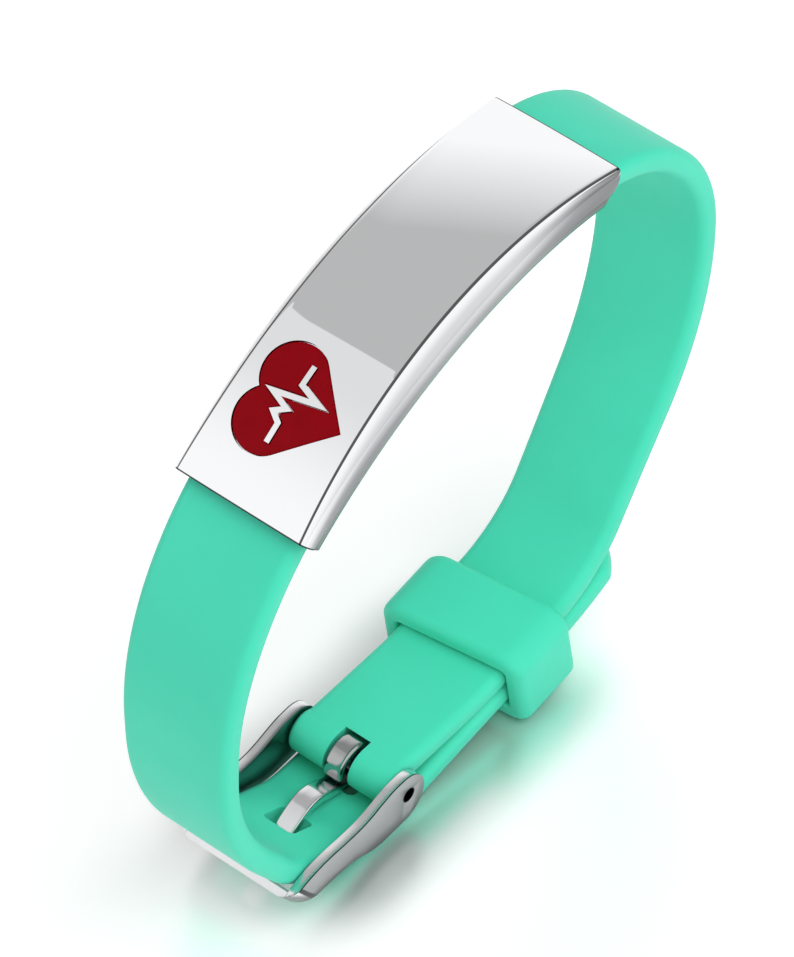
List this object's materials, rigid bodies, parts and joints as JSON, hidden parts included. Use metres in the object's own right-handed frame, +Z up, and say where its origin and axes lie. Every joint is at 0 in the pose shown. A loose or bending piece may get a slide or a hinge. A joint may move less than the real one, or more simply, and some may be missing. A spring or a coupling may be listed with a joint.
{
  "type": "medical alert bracelet",
  "caption": "Closed silicone strap bracelet with a curved polished steel identity plate, a red enamel heart with a pulse line, a pin buckle and a keeper.",
  "frame": {"origin": "on the surface the bracelet stands on, under the middle of its overall box", "axes": "+X along the clasp from the buckle's front bar towards the strap's tail, +Y across the strap, +Z up towards the identity plate"},
  "size_m": [0.0656, 0.0148, 0.0617],
  "materials": {
    "silicone": "smooth satin silicone, mint green",
    "polished_steel": "mirror-polished stainless steel",
    "red_enamel": "glossy deep red enamel",
    "buckle_steel": "polished stainless steel"
  },
  "bodies": {
    "root": {"strap": "silicone", "keeper": "silicone", "id_plate": "polished_steel", "emblem_enamel": "red_enamel", "buckle_frame": "buckle_steel", "spring_bar": "buckle_steel", "tongue": "buckle_steel"}
  },
  "joints": []
}
